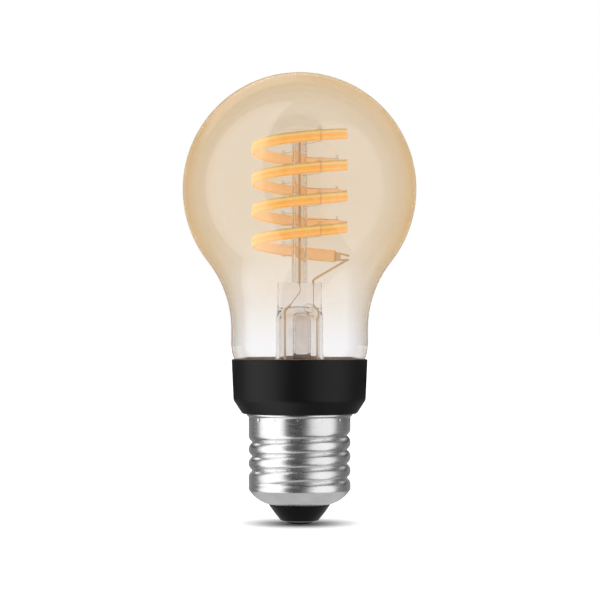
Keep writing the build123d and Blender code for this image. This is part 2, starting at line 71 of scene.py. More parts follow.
def turned(outline, columns=256):
    """Points of a turned shape: each radius and height of the outline, all the way round."""
    radius, height = np.asarray(outline, float).T[:, :, None]
    return around(radius, np.linspace(0, 2 * np.pi, columns + 1), height)


def eased(points, cuts, steps=6):
    """Line through points with eased corners: round each corner it is a parabola that
    starts and ends one cut's length away from it."""
    points = np.asarray(points, float)
    cuts = np.broadcast_to(cuts, len(points) - 2)
    share = np.linspace(0, 1, steps + 1)[:, None]
    runs = [points[:1]]
    for before, corner, after, cut in zip(points, points[1:], points[2:], cuts):
        start = corner + (before - corner) * cut / np.linalg.norm(before - corner)
        end = corner + (after - corner) * cut / np.linalg.norm(after - corner)
        runs.append((1 - share) ** 2 * start + 2 * share * (1 - share) * corner + share**2 * end)
    runs.append(points[-1:])
    return np.concatenate(runs)


def skin(name, *grids, crease=38):
    """Smooth closed mesh over grids of points: each four neighbours make a face, points
    that meet are joined, and edges sharper than the crease angle stay crisp."""
    points, faces, first = [], [], 0
    for grid in grids:
        rows, columns = grid.shape[:2]
        index = first + np.arange(rows * columns).reshape(rows, columns)
        corners = (index[:-1, :-1], index[:-1, 1:], index[1:, 1:], index[1:, :-1])
        faces.append(np.stack(corners, axis=-1).reshape(-1, 4))
        points.append(grid.reshape(-1, 3) / 1000)
        first += rows * columns
    mesh = bpy.data.meshes.new(name)
    mesh.from_pydata(np.concatenate(points), [], np.concatenate(faces).tolist())
    work = bmesh.new()
    work.from_mesh(mesh)
    bmesh.ops.remove_doubles(work, verts=work.verts, dist=2e-7)
    bmesh.ops.recalc_face_normals(work, faces=work.faces)
    work.to_mesh(mesh)
    work.free()
    mesh.shade_smooth()
    mesh.set_sharp_from_angle(angle=math.radians(crease))
    piece = bpy.data.objects.new(name, mesh)
    bpy.context.scene.collection.objects.link(piece)
    return piece


def new_finish(name, **values):
    """Material with one main shader, set to plain values; names use _ for a space."""
    finish = bpy.data.materials.new(name)
    finish.use_nodes = True
    shader = finish.node_tree.nodes["Principled BSDF"]
    for label, value in values.items():
        shader.inputs[label.replace("_", " ")].default_value = value
    return finish, finish.node_tree, shader


def feed(shader, **sources):
    """Link worked-out values to the main shader; names use _ for a space."""
    for label, source in sources.items():
        shader.id_data.links.new(source, shader.inputs[label.replace("_", " ")])


def grain(tree, size, detail=3.0, stretch=(1, 1, 1)):
    """Even noise on the piece's own coordinates, with features of a size in millimetres."""
    place = tree.nodes.new("ShaderNodeTexCoord")
    scale = tree.nodes.new("ShaderNodeMapping")
    scale.inputs["Scale"].default_value = stretch
    noise = tree.nodes.new("ShaderNodeTexNoise")
    noise.inputs["Scale"].default_value = 1000 / size
    noise.inputs["Detail"].default_value = detail
    tree.links.new(place.outputs["Object"], scale.inputs["Vector"])
    tree.links.new(scale.outputs["Vector"], noise.inputs["Vector"])
    return noise.outputs["Fac"]


def spread(factor, low, high, start=0.3, end=0.7):
    """Number that goes from low to high while the factor goes from start to end."""
    tree = factor.id_data
    span = tree.nodes.new("ShaderNodeMapRange")
    span.inputs["From Min"].default_value = start
    span.inputs["From Max"].default_value = end
    span.inputs["To Min"].default_value = low
    span.inputs["To Max"].default_value = high
    tree.links.new(factor, span.inputs["Value"])
    return span.outputs["Result"]


def along_axis(tree, axis, low, high, start, end):
    """Number that goes from low to high along one of the piece's own axes, between two
    places in millimetres."""
    place = tree.nodes.new("ShaderNodeTexCoord")
    axes = tree.nodes.new("ShaderNodeSeparateXYZ")
    tree.links.new(place.outputs["Object"], axes.inputs["Vector"])
    return spread(axes.outputs[axis], low, high, start / 1000, end / 1000)


def blend_colours(factor, first, second):
    """Colour between two colours, by a factor from 0 to 1."""
    tree = factor.id_data
    mix = tree.nodes.new("ShaderNodeMix")
    mix.data_type = "RGBA"
    for socket, colour in ((mix.inputs[6], first), (mix.inputs[7], second)):
        if isinstance(colour, tuple):
            socket.default_value = (*colour, 1)
        else:
            tree.links.new(colour, socket)
    tree.links.new(factor, mix.inputs["Factor"])
    return mix.outputs[2]


def relief(shader, factor, height, strength=1.0):
    """Fine bumps of a height in millimetres on the main shader."""
    tree = shader.id_data
    bump = tree.nodes.new("ShaderNodeBump")
    bump.inputs["Distance"].default_value = height / 1000
    bump.inputs["Strength"].default_value = strength
    tree.links.new(factor, bump.inputs["Height"])
    tree.links.new(bump.outputs["Normal"], shader.inputs["Normal"])


def fit_piece(piece, finish, node):
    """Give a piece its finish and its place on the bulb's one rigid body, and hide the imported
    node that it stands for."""
    piece.data.materials.append(finish)
    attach(piece, "root")
    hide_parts(node)


def nickel_finish(name, tone, roughness, grain_size, stretch):
    """Bright nickel plate: a slightly uneven tone and fine drawing lines."""
    finish, tree, shader = new_finish(name, Metallic=1.0, Roughness=roughness)
    lines = grain(tree, grain_size, 4.0, stretch)
    darker = tuple(0.86 * value for value in tone)
    tones = blend_colours(spread(grain(tree, 5.0), 0, 1), darker, tone)
    dulling = spread(lines, 0.8 * roughness, 1.3 * roughness)
    feed(shader, Base_Color=tones, Roughness=dulling)
    relief(shader, lines, 0.0007, 0.5)
    return finish


contact_radius, _, contact_height = packed_box("centre_contact")[1]
# Heights in millimetres where the contact's painted shade gives way to its bare top rim.
painted_shade_edge = (0.84, 0.88)
solder_radius = 1.35
solder_dip = 0.12

contact_outline = eased(
    [
        (0, solder_dip),
        (0.45 * contact_radius, solder_dip),
        (0.62 * contact_radius, 0),
        (0.86 * contact_radius, 0.22 * contact_height),
        (contact_radius, contact_height),
        (0, contact_height),
    ],
    [0.3, 0.3, 0.3, 0.02],
)
contact = skin("contact_disc", turned(contact_outline, 128))
contact_metal, tree, shader = new_finish("contact_metal", Metallic=1.0, Roughness=0.3)
# Painted shade: below a thin rim at its top the disc is coloured near-black, for the shade and dark
# reflections under the tip; the rim keeps the plated metal's tone.
unshaded_share = along_axis(tree, "Z", 0, 1, *painted_shade_edge)
contact_speck = spread(grain(tree, 0.25), 0, 1)
bare_metal_tone = blend_colours(contact_speck, (0.5, 0.48, 0.48), (0.6, 0.58, 0.57))
painted_shade_tone = blend_colours(contact_speck, (0.006, 0.006, 0.006), (0.014, 0.013, 0.013))
feed(shader, Base_Color=blend_colours(unshaded_share, painted_shade_tone, bare_metal_tone))
relief(shader, contact_speck, 0.01, 0.5)
fit_piece(contact, contact_metal, "centre_contact")

solder_outline = [(0, 0.01), (0.7 * solder_radius, 0.02), (solder_radius, 0.2), (0, 0.3)]
solder_grid = turned(eased(solder_outline, [0.4, 0.05]), 64)
solder_turn = np.linspace(0, 2 * np.pi, 65)
solder_wave = 1 + 0.06 * np.sin(3 * solder_turn + 1) + 0.04 * np.sin(5 * solder_turn)
solder_grid[..., :2] *= solder_wave[None, :, None]
solder = skin("solder_drop", solder_grid)
solder_finish = nickel_finish("solder", (0.5, 0.5, 0.5), 0.38, 0.4, (1, 1, 1))
fit_piece(solder, solder_finish, "contact_solder")


# --- Cap insulator
# Black vitrified glass or plastic, moulded into the foot of the screw shell.
# It keeps the contact apart from the shell, and is glossy where it shows.

lip_radius = 7.9
lip_z = packed_box("screw_shell")[0][2]
insulator_foot_radius = 4.85
insulator_waist = (6.475, 3.035)
insulator_inner_radius = 10.2
insulator_top = packed_box("cap_insulator")[1][2]
seam = 0.02

insulator_outline = eased(
    [
        (0, contact_height + seam),
        (insulator_foot_radius, contact_height + seam),
        insulator_waist,
        (lip_radius - seam, lip_z - 0.2),
        (lip_radius - seam, lip_z + 0.35),
        (insulator_inner_radius - 0.3, insulator_top),
        (0, insulator_top),
    ],
    [0.35, 0.9, 0.15, 0.1, 0.3],
)
insulator = skin("insulator_cone", turned(insulator_outline, 192))
insulator_finish, tree, shader = new_finish("cap_insulation", Specular_IOR_Level=0.12, IOR=1.5)
swirl = grain(tree, 1.6, 4.0)
swirl_share = spread(swirl, 0, 1)
swirled = blend_colours(swirl_share, (0.002, 0.002, 0.0024), (0.004, 0.0036, 0.0036))
feed(shader, Base_Color=swirled, Roughness=spread(swirl, 0.24, 0.36))
relief(shader, swirl, 0.01, 0.4)
fit_piece(insulator, insulator_finish, "cap_insulator")


# --- Screw shell
# A cup drawn from thin nickel-plated brass. Its round-crested thread is rolled in,
# its rim flares out under the collar, and a row of punch marks holds it there.

rim_radius, _, rim_z = packed_box("screw_shell")[1]
rim_flare = 0.5
rim_height = 0.8
crest_radius = rim_radius - rim_flare
flare_z = rim_z - rim_height
shell_wall = 0.3
dome_height = 3.85
dome_bulge = 0.64
band_z = lip_z + dome_height
thread_pitch = 3.629
thread_depth = 0.9
thread_turns = 3
first_root_z = band_z + 3.0
first_full_turn = -0.26
last_full_turn = thread_turns + 0.06
fade_turns = 95 / 360
root_round = 0.1
punch_count = 14
punch_radius = 0.36
punch_depth = 0.09
punch_z = 27.2
punch_turn = -91.0
punch_band = 0.7
thread_end_z = 24.2
groove_low_z = band_z - 2.2
shell_columns = 448


def foot_arc(inset, start, end, count):
    """Rounded foot of the cup: an arc from the lip to the wall that swells by the bulge,
    moved inwards by an inset, at evenly spaced radii."""
    run = crest_radius - lip_radius
    chord = math.hypot(run, dome_height)
    circle = (chord**2 / 4 + dome_bulge**2) / (2 * dome_bulge)
    lean = (circle - dome_bulge) / chord
    centre_r = (crest_radius + lip_radius) / 2 - dome_height * lean
    centre_z = (band_z + lip_z) / 2 + run * lean
    radius = np.linspace(start, end, count)
    drop = np.sqrt((circle - inset) ** 2 - (radius - centre_r) ** 2)
    return joined(radius, centre_z - drop)


def thread_drop(turn, height):
    """Depth of the rolled groove: the two and a half power of the nearness to a root, which
    makes broad round crests and narrow roots, faded out before the first and after the last
    full turn."""
    phase = (height - first_root_z) / thread_pitch - turn / (2 * np.pi)
    nearest = np.round(phase)
    place = nearest + turn / (2 * np.pi)
    past = np.maximum(first_full_turn - place, place - last_full_turn)
    fade = (1 - np.clip(past / fade_turns, 0, 1)) ** 1.5
    away = np.sqrt((2 * (phase - nearest)) ** 2 + root_round**2)
    nearness = np.clip((1 - away) / (1 - root_round), 0, 1)
    return thread_depth * fade * nearness**2.5


def punch_drop(turn, height):
    """Depth of the punch marks: a bell round each of the evenly spaced marks."""
    step = 2 * np.pi / punch_count
    offset = turn - math.radians(punch_turn)
    across = (offset - step * np.round(offset / step)) * crest_radius
    away = np.hypot(across, height - punch_z) / punch_radius
    return punch_depth * np.exp(-(away**4))


punch_low_z = punch_z - punch_band
wall_rows = np.concatenate(
    (
        np.linspace(band_z, thread_end_z, 76)[1:],
        np.linspace(thread_end_z, punch_low_z, 10)[1:],
        np.linspace(punch_low_z, flare_z, 13)[1:-1],
    )
)
outer_wall = joined(crest_radius, wall_rows)
rim_outer = eased(
    [
        (crest_radius, flare_z - 0.1),
        (crest_radius + 0.05, flare_z + 0.1),
        (crest_radius + rim_flare, rim_z - 0.33),
        (crest_radius + rim_flare, rim_z),
    ],
    [0.1, 0.08],
)
outside = np.concatenate((foot_arc(0, lip_radius, crest_radius, 24), outer_wall, rim_outer))
inner_rows = np.linspace(flare_z, band_z, 60)
inside = np.concatenate(
    (
        [(crest_radius + rim_flare - shell_wall, rim_z)],
        joined(crest_radius - shell_wall, inner_rows),
        foot_arc(shell_wall, crest_radius - shell_wall, lip_radius, 12),
        outside[:1],
    )
)
shell_turn = np.linspace(0, 2 * np.pi, shell_columns + 1)
shell_radius, shell_height = np.concatenate((outside, inside)).T[:, :, None]
on_wall = (shell_height >= groove_low_z) & (shell_height <= flare_z + 0.01)
drop = thread_drop(shell_turn, shell_height) + punch_drop(shell_turn, shell_height)
shell_grid = around(shell_radius - drop * on_wall, shell_turn, shell_height)
shell_grid[:, -1] = shell_grid[:, 0]
shell = skin("threaded_shell", shell_grid, crease=60)
cap_metal = nickel_finish("cap_metal", (0.8, 0.8, 0.8), 0.27, 0.5, (0.2, 0.2, 2.5))
fit_piece(shell, cap_metal, "screw_shell")


# --- Driver in the cap and the collar
# Two small circuit boards with their components, inside a sleeve of thin film. They
# stay as they are; each gets the finish of the real component.


def mottled(name, first, second, roughness, size, height=0.0, **values):
    """Matt or glossy finish whose colour wanders between two tones."""
    finish, tree, shader = new_finish(name, **values)
    noise = grain(tree, size, 4.0)
    mixed = blend_colours(spread(noise, 0, 1), first, second)
    dulling = spread(noise, 0.8 * roughness, 1.2 * roughness)
    feed(shader, Base_Color=mixed, Roughness=dulling)
    if height:
        relief(shader, noise, height)
    return finish


def dress_node(finish, *names):
    """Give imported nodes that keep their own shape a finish."""
    for name in names:
        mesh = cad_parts[name].data
        mesh.materials.clear()
        mesh.materials.append(finish)


board_finish = mottled("board_laminate", (0.01, 0.09, 0.035), (0.014, 0.12, 0.05), 0.45, 0.8, 0.01)
dress_node(board_finish, "driver_board", "radio_module")
black_epoxy = mottled("black_epoxy", (0.012, 0.012, 0.013), (0.024, 0.024, 0.026), 0.55, 0.4, 0.01)
dress_node(black_epoxy, "bridge_rectifier", "cool_driver_chip", "warm_driver_chip")
dress_node(black_epoxy, "radio_chip", "chip_resistors")
sleeve_film = mottled("sleeve_film", (0.62, 0.6, 0.52), (0.72, 0.7, 0.62), 0.4, 3.0)
dress_node(sleeve_film, "insulating_sleeve")
capacitor_film = mottled("capacitor_sleeve", (0.012, 0.014, 0.02), (0.02, 0.022, 0.03), 0.3, 2.0)
dress_node(capacitor_film, "filter_capacitor")
red_epoxy = mottled("film_capacitor_red", (0.32, 0.02, 0.012), (0.42, 0.035, 0.02), 0.3, 1.5, 0.02)
dress_node(red_epoxy, "film_capacitor")
ferrite = mottled("ferrite", (0.03, 0.028, 0.028), (0.055, 0.05, 0.05), 0.6, 0.3, 0.02)
dress_node(ferrite, "choke_core")
winding_copper = nickel_finish("winding_copper", (0.72, 0.3, 0.14), 0.3, 0.25, (0.1, 0.1, 1))
dress_node(winding_copper, "choke_winding", "antenna_trace")
resistor_coat = mottled("resistor_coat", (0.12, 0.2, 0.24), (0.16, 0.26, 0.3), 0.5, 0.6, 0.02)
dress_node(resistor_coat, "fusible_resistor")
tinplate = nickel_finish("shield_tinplate", (0.66, 0.66, 0.64), 0.32, 0.4, (1, 0.2, 1))
dress_node(tinplate, "radio_shield", "module_pins", "left_lead_barrel", "right_lead_barrel")
wire_sleeve = mottled("wire_insulation", (0.5, 0.5, 0.48), (0.62, 0.62, 0.6), 0.5, 1.0)
dress_node(wire_sleeve, "live_wire", "neutral_wire")


# --- Collar
# One moulded cup of satin black plastic. It carries the glass in its mouth, and its
# spigot goes down into the screw shell. Its wall is plain all round.

spigot_foot = packed_box("collar")[0][2]
collar_top_radius, _, collar_top = packed_box("collar")[1]
collar_height = 14.05
collar_foot = collar_top - collar_height
collar_draft = 0.47
collar_knee_radius = collar_top_radius - collar_draft
collar_knee_z = collar_foot + 3.55
collar_foot_radius = crest_radius + rim_flare + 1.12
collar_wall = 1.4
collar_lip_wall = 0.55
spigot_radius = crest_radius - shell_wall - 0.05
spigot_bore = spigot_radius - 1.2
collar_floor = collar_foot + 1.4
glass_seat_z = collar_top - 1.7
glass_seat_radius = 16.35

collar_outline = eased(
    [
        (glass_seat_radius, glass_seat_z),
        (collar_top_radius - collar_lip_wall, collar_top - 0.6),
        (collar_top_radius - collar_lip_wall, collar_top),
        (collar_top_radius, collar_top),
        (collar_knee_radius, collar_knee_z),
        (collar_foot_radius, collar_foot),
        (spigot_radius, collar_foot),
        (spigot_radius, spigot_foot),
        (spigot_bore, spigot_foot),
        (spigot_bore, collar_floor),
        (collar_foot_radius - 0.4 * collar_wall, collar_floor),
        (collar_knee_radius - collar_wall, collar_knee_z),
        (glass_seat_radius, glass_seat_z),
    ],
    [0.1, 0.12, 0.22, 0.5, 0.5, 0.1, 0.2, 0.2, 0.1, 0.5, 0.5],
    steps=8,
)
collar = skin("collar_cup", turned(collar_outline))
collar_plastic, tree, shader = new_finish("collar_plastic", IOR=1.33)
collar_cloud = grain(tree, 6.0)
collar_grain = grain(tree, 0.16, 5.0)
collar_share = spread(collar_cloud, 0, 1)
satin_black = blend_colours(collar_share, (0.003, 0.0027, 0.003), (0.0045, 0.0042, 0.0045))
feed(shader, Base_Color=satin_black, Roughness=spread(collar_cloud, 0.4, 0.46))
relief(shader, collar_grain, 0.03, 1.0)
fit_piece(collar, collar_plastic, "collar")


# --- Glass envelope
# One blown bulb of clear glass with an amber coat inside the globe that thins out
# to nothing at the neck. Its mouth is drawn in and melted onto the stem.

crown_z = packed_box("glass_envelope")[1][2]
crown_height = 30.5
globe_z = crown_z - crown_height
globe_radius = 30.23
glass_wall = 0.75
shoulder_radius = 28.32
neck_radius = 17.65
neck_bottom = 46.237
seal_round = 8.8
seal_angle = 76.5
coat_fade = (46.0, 74.0)
centre_distance = globe_radius + shoulder_radius
neck_top = globe_z - math.sqrt(centre_distance**2 - (neck_radius + shoulder_radius) ** 2)
shoulder_angle = math.degrees(math.asin((globe_z - neck_top) / centre_distance))


def arc(centre, radius, start, end, count):
    """Points on an arc about a centre: its radius times the cosine and sine of an angle."""
    angle = np.radians(np.linspace(start, end, count))
    return joined(centre[0] + radius * np.cos(angle), centre[1] + radius * np.sin(angle))


def glass_outline(inset):
    """Half outline of the glass from its crown to its sealed mouth, moved in by an inset."""
    shoulder = (neck_radius + shoulder_radius, neck_top)
    return np.concatenate(
        (
            arc((0, globe_z), globe_radius - inset, 90, -shoulder_angle, 90),
            arc(shoulder, shoulder_radius + inset, 180 - shoulder_angle, 180, 30)[1:],
            [(neck_radius - inset, (neck_top + neck_bottom) / 2)],
            arc((neck_radius - seal_round, neck_bottom), seal_round - inset, 0, -seal_angle, 20),
        )
    )


glass_section = np.concatenate((glass_outline(0), glass_outline(glass_wall)[::-1]))
glass = skin("glass_bulb", turned(glass_section), crease=60)


def combined(operation, *factors):
    """Factors taken together by one operation. Each is a socket or, after the first, a plain
    number."""
    result = factors[0]
    tree = result.id_data
    for factor in factors[1:]:
        node = tree.nodes.new("ShaderNodeMath")
        node.operation = operation
        tree.links.new(result, node.inputs[0])
        if isinstance(factor, float):
            node.inputs[1].default_value = factor
        else:
            tree.links.new(factor, node.inputs[1])
        result = node.outputs["Value"]
    return result


def either(*factors):
    """Largest of several factors."""
    return combined("MAXIMUM", *factors)


def product(*factors):
    """Product of several factors."""
    return combined("MULTIPLY", *factors)


def facing_away(tree):
    """How far a surface turns away from the view, from 0 to 1."""
    slant = tree.nodes.new("ShaderNodeLayerWeight")
    slant.inputs["Blend"].default_value = 0.5
    return slant.outputs["Facing"]


def let_light_in(shader, tint, *shares):
    """Let lamp light and soft indirect light straight through clear glass, with a tint, and
    camera light by the largest of some shares."""
    tree = shader.id_data
    path = tree.nodes.new("ShaderNodeLightPath")
    passing = either(path.outputs["Is Shadow Ray"], path.outputs["Is Diffuse Ray"], *shares)
    through = tree.nodes.new("ShaderNodeBsdfTransparent")
    mix = tree.nodes.new("ShaderNodeMixShader")
    tree.links.new(passing, mix.inputs["Fac"])
    tree.links.new(shader.outputs["BSDF"], mix.inputs[1])
    tree.links.new(through.outputs["BSDF"], mix.inputs[2])
    tree.links.new(mix.outputs["Shader"], tree.nodes["Material Output"].inputs["Surface"])
    tree.links.new(tint, through.inputs["Color"])


def trapped_light(facing, start=0.25, end=0.3):
    """Share of the light inside a wall that would be reflected back into it for good."""
    side = facing.id_data.nodes.new("ShaderNodeNewGeometry")
    return product(side.outputs["Backfacing"], spread(facing, 0, 1, start, end))


def colour_steps(factor, *stops):
    """Colour that runs through stops, each a place from 0 to 1 and a colour."""
    tree = factor.id_data
    ramp = tree.nodes.new("ShaderNodeValToRGB")
    while len(ramp.color_ramp.elements) < len(stops):
        ramp.color_ramp.elements.new(0.5)
    for element, (place, colour) in zip(ramp.color_ramp.elements, stops):
        element.position = place
        element.color = (*colour, 1)
    tree.links.new(factor, ramp.inputs["Fac"])
    return ramp.outputs["Color"]


def write_values(piece, name, formula):
    """Write a number on each point of a piece: a formula of its x, y and z in millimetres."""
    points = np.empty(3 * len(piece.data.vertices))
    piece.data.vertices.foreach_get("co", points)
    layer = piece.data.attributes.new(name, "FLOAT", "POINT")
    layer.data.foreach_set("value", formula(*(1000 * points.reshape(-1, 3).T)))


def read_values(tree, name):
    """The number that a piece's points carry under a name."""
    node = tree.nodes.new("ShaderNodeAttribute")
    node.attribute_name = name
    return node.outputs["Fac"]


def on_outer_skin(x, y, z):
    """1 on the glass's outer skin and 0 on its inner one: the nearest point of the outer
    outline lies within half a wall."""
    outline = glass_outline(0)
    radius = np.hypot(x, y)
    away = [np.hypot(radius - r, z - h) for r, h in outline]
    return (np.min(away, axis=0) < 0.45 * glass_wall).astype(float)


see_through = {"Transmission_Weight": 1.0, "Roughness": 0.0}
clear_glass, tree, shader = new_finish("clear_glass", IOR=1.5, **see_through)
coat_share = along_axis(tree, "Z", 0, 1, *coat_fade)
coat_cloud = spread(grain(tree, 22.0, 2.0), 0, 1)
thin_coat = blend_colours(coat_cloud, (0.87, 0.79, 0.68), (0.885, 0.803, 0.695))
facing = facing_away(tree)
steeper = spread(facing, 0, 1, 0.3, 1.0)
slant_coat = blend_colours(steeper, thin_coat, (0.8, 0.55, 0.25))
clear_wall = blend_colours(steeper, (0.955, 0.95, 0.955), (0.6, 0.55, 0.5))
feed(shader, Base_Color=blend_colours(coat_share, clear_wall, slant_coat))

neck_rim = colour_steps(
    facing,
    (0.5, (0.87, 0.85, 0.825)),
    (0.64, (0.79, 0.775, 0.755)),
    (0.8, (0.74, 0.68, 0.64)),
    (0.92, (0.48, 0.42, 0.39)),
)
amber_rim = colour_steps(
    facing,
    (0.5, (0.85, 0.755, 0.625)),
    (0.62, (0.85, 0.73, 0.56)),
    (0.74, (0.87, 0.71, 0.51)),
    (0.9, (0.86, 0.73, 0.535)),
)
rim = spread(facing, 0, 0.72, 0.44, 0.56)
rim_tint = blend_colours(coat_share, neck_rim, amber_rim)
rim_tint = blend_colours(read_values(tree, "outer_skin"), (1.0, 1.0, 1.0), rim_tint)
tint = blend_colours(spread(facing, 0, 1, 0.4, 0.45), (0.97, 0.96, 0.95), rim_tint)
let_light_in(shader, tint, rim, trapped_light(facing))
write_values(glass, "outer_skin", on_outer_skin)
fit_piece(glass, clear_glass, "glass_envelope")


# --- Neck cement
# A thin ring of tan cement holds the glass in the collar's mouth and shows as a fine
# bead above the lip.


def glass_radius(height):
    """Outer radius of the drawn-in mouth: the seal's arc at a height."""
    drop = neck_bottom - height
    return neck_radius - seal_round + math.sqrt(seal_round**2 - drop**2)


bead_z = collar_top + 0.14
cement_low = packed_box("neck_cement")[0][2]
cement_middle = (bead_z + cement_low) / 2
mouth_radius = collar_top_radius - collar_lip_wall
cement_outline = eased(
    [
        (glass_radius(cement_low) + seam, cement_low),
        (mouth_radius - seam, collar_top - 0.6),
        (mouth_radius - seam, collar_top + seam),
        (mouth_radius + 0.28, collar_top + seam),
        (glass_radius(bead_z) + seam, bead_z),
        (glass_radius(cement_middle) + seam, cement_middle),
        (glass_radius(cement_low) + seam, cement_low),
    ],
    [0.05, 0.02, 0.1, 0.02, 0.3],
    steps=4,
)
cement = skin("cement_ring", turned(cement_outline))
cement_finish = mottled("cement", (0.16, 0.1, 0.06), (0.27, 0.18, 0.11), 0.75, 0.7, 0.05)
fit_piece(cement, cement_finish, "neck_cement")


# --- Stem tube
# A clear lead-glass tube with a flared foot, melted to the envelope's mouth. Its top is
# pressed flat round the leads, and the exhaust tube's port opens in the press.

stem_foot = packed_box("stem_tube")[0][2]
flare_radius, _, press_top = packed_box("stem_tube")[1]
stem_radius = 6.1
stem_wall = 0.8
flare_height = 6.5
press_half_width = 5.75
press_half_depth = 1.9
port_place = (2.39, -2.5, 55.7)
port_radius = 1.19
port_lip = 0.17
press_height = 6.15
press_bottom = press_top - press_height
stem_top = press_bottom - 3.2
taper_foot = stem_top - 1.2
lump_height = 0.28


def oval_rows(rows, columns=96):
    """Points of an upright shape with oval sections: each row gives a half width, a half
    depth and a height, and x and y are those times the cosine and sine of the turn."""
    turn = np.linspace(0, 2 * np.pi, columns + 1)
    width, depth, height = np.asarray(rows, float).T[:, :, None]
    return joined(width * np.cos(turn), depth * np.sin(turn), height)


def ease_between(start, end, share):
    """Value that leaves the start and meets the end without a kink."""
    return start + (end - start) * share**2 * (3 - 2 * share)


rise = np.linspace(0, 1, 24)
outer_flare = flare_radius - (flare_radius - stem_radius) * np.sin(rise * np.pi / 2) ** 0.55
inner_flare = outer_flare - stem_wall
outer_flare_z = stem_foot + glass_wall + flare_height * rise**1.2
inner_flare_z = stem_foot + (flare_height + glass_wall) * rise**1.2
taper = np.linspace(0, 1, 14)[1:]
outer_rows = np.concatenate(
    (
        joined(outer_flare, outer_flare, outer_flare_z),
        joined(
            ease_between(stem_radius, press_half_width, taper),
            ease_between(stem_radius, press_half_depth, taper),
            taper_foot + (press_bottom + 0.4 - taper_foot) * taper,
        ),
        [
            (press_half_width, press_half_depth, press_top - 0.5),
            (press_half_width - 0.04, press_half_depth - 0.08, press_top - 0.2),
            (press_half_width - 0.15, press_half_depth - 0.3, press_top - 0.05),
            (press_half_width - 0.35, press_half_depth - 0.6, press_top),
            (0, 0, press_top),
        ],
    )
)
throat = np.linspace(0, 1, 12)[1:]
inner_rows = np.concatenate(
    (
        joined(inner_flare, inner_flare, inner_flare_z),
        joined(
            ease_between(stem_radius - stem_wall, press_half_width - 1.3, throat),
            ease_between(stem_radius - stem_wall, 0.5, throat),
            taper_foot + (press_bottom - 0.8 - taper_foot) * throat,
        ),
        [(0, 0, press_bottom - 0.6)],
    )
)
stem_grid = oval_rows(np.concatenate((outer_rows[::-1], inner_rows)))
lump_turn = np.linspace(0, 2 * np.pi, stem_grid.shape[1])
lump = np.sin(3 * lump_turn + 0.6) + 0.6 * np.sin(5 * lump_turn + 2.0)
throat_share = np.zeros(len(stem_grid))
throat_share[-len(throat) - 1 : -1] = throat
stem_grid[..., 2] += lump_height * throat_share[:, None] * lump
port_turn = np.linspace(0, 2 * np.pi, 49)[:, None]
lip_turn = np.linspace(0, 2 * np.pi, 13)
port_reach = port_radius + port_lip * np.cos(lip_turn)
port_ring = port_place + joined(
    port_reach * np.cos(port_turn), port_lip * np.sin(lip_turn), port_reach * np.sin(port_turn)
)
stem = skin("stem_glass_tube", stem_grid, port_ring, crease=60)
stem_glass, tree, shader = new_finish("stem_glass", IOR=1.32, **see_through)
stem_facing = facing_away(tree)
stem_cloud = spread(grain(tree, 3.0), 0, 1)
stem_tone = blend_colours(stem_cloud, (0.92, 0.89, 0.87), (0.95, 0.925, 0.91))
stem_steeper = spread(stem_facing, 0, 1, 0.3, 1.0)
stem_tone = blend_colours(stem_steeper, stem_tone, (0.5, 0.44, 0.4))
feed(shader, Base_Color=stem_tone)
stem_edge = colour_steps(stem_facing, (0.3, (0.97, 0.96, 0.95)), (1.0, (0.62, 0.56, 0.52)))
let_light_in(shader, stem_edge, trapped_light(stem_facing, 0.5, 0.8))
fit_piece(stem, stem_glass, "stem_tube")


# --- Exhaust tube
# A narrow glass tube that hangs inside the stem. The bulb was emptied and filled with gas
# through it, and its lower end was then melted shut.

exhaust_low, exhaust_top = (corner[2] for corner in packed_box("exhaust_tube"))
exhaust_radius = 2.35
exhaust_bore = 1.75
exhaust_offset = 0.6
exhaust_outline = eased(
    [
        (0, exhaust_low),
        (0.5, exhaust_low),
        (exhaust_radius, exhaust_low + 2.4),
        (exhaust_radius, exhaust_top),
        (exhaust_bore, exhaust_top),
        (exhaust_bore, exhaust_low + 2.9),
        (0, exhaust_low + 1.3),
    ],
    [0.3, 0.9, 0.2, 0.2, 0.8],
)
exhaust_grid = turned(exhaust_outline, 72)
exhaust_grid[..., 0] += exhaust_offset
exhaust = skin("exhaust_glass_tube", exhaust_grid, crease=60)
fit_piece(exhaust, stem_glass, "exhaust_tube")


# --- Support post
# A straight glass tube that stands on the press and carries the spiral. The wire to the
# strip's upper end runs up its bore.

post_low, post_top = (corner[2] for corner in packed_box("support_post"))
post_radius = 2.0
post_bore = 1.27
post_outline = eased(
    [
        (post_bore, post_low - seam),
        (post_radius, post_low - seam),
        (post_radius, post_top),
        (post_bore, post_top),
        (post_bore, post_low - seam),
    ],
    [0.02, 0.3, 0.1],
)
post = skin("post_rod", turned(post_outline, 72), crease=60)
fit_piece(post, stem_glass, "support_post")


# --- Leads and conductor
# Nickel wires with a thinner copper-clad length where the press grips them. The left one
# meets the conductor in the post, which goes on to the strip's upper end; the right one
# crosses to its lower end.

lead_radius = 0.3
clad_radius = 0.11
clad_taper = 0.8
clad_low_fade = (52.0, 53.5)
clad_top_fade = (61.6, 62.6)
tube_fade = (53.0, 57.0)
lead_bottom = packed_box("left_lead_wire")[0][2]
left_offset = 3.8
right_offset = 4.6
right_inset = 1.1
coil_radius = 12.0
coil_pitch = 8.045
coil_turns = 3.893
terminal_height = 2.1
terminal_thickness = 0.25
terminal_tip_height = 1.3
upper_weld_reach = 3.74
lower_weld_reach = 4.9
climb = math.atan2(coil_pitch, 2 * math.pi * coil_radius)
coil_top_z = post_top + 1.65
coil_bottom_z = coil_top_z - coil_pitch * coil_turns
coil_start = -2 * np.pi * (coil_turns % 1)


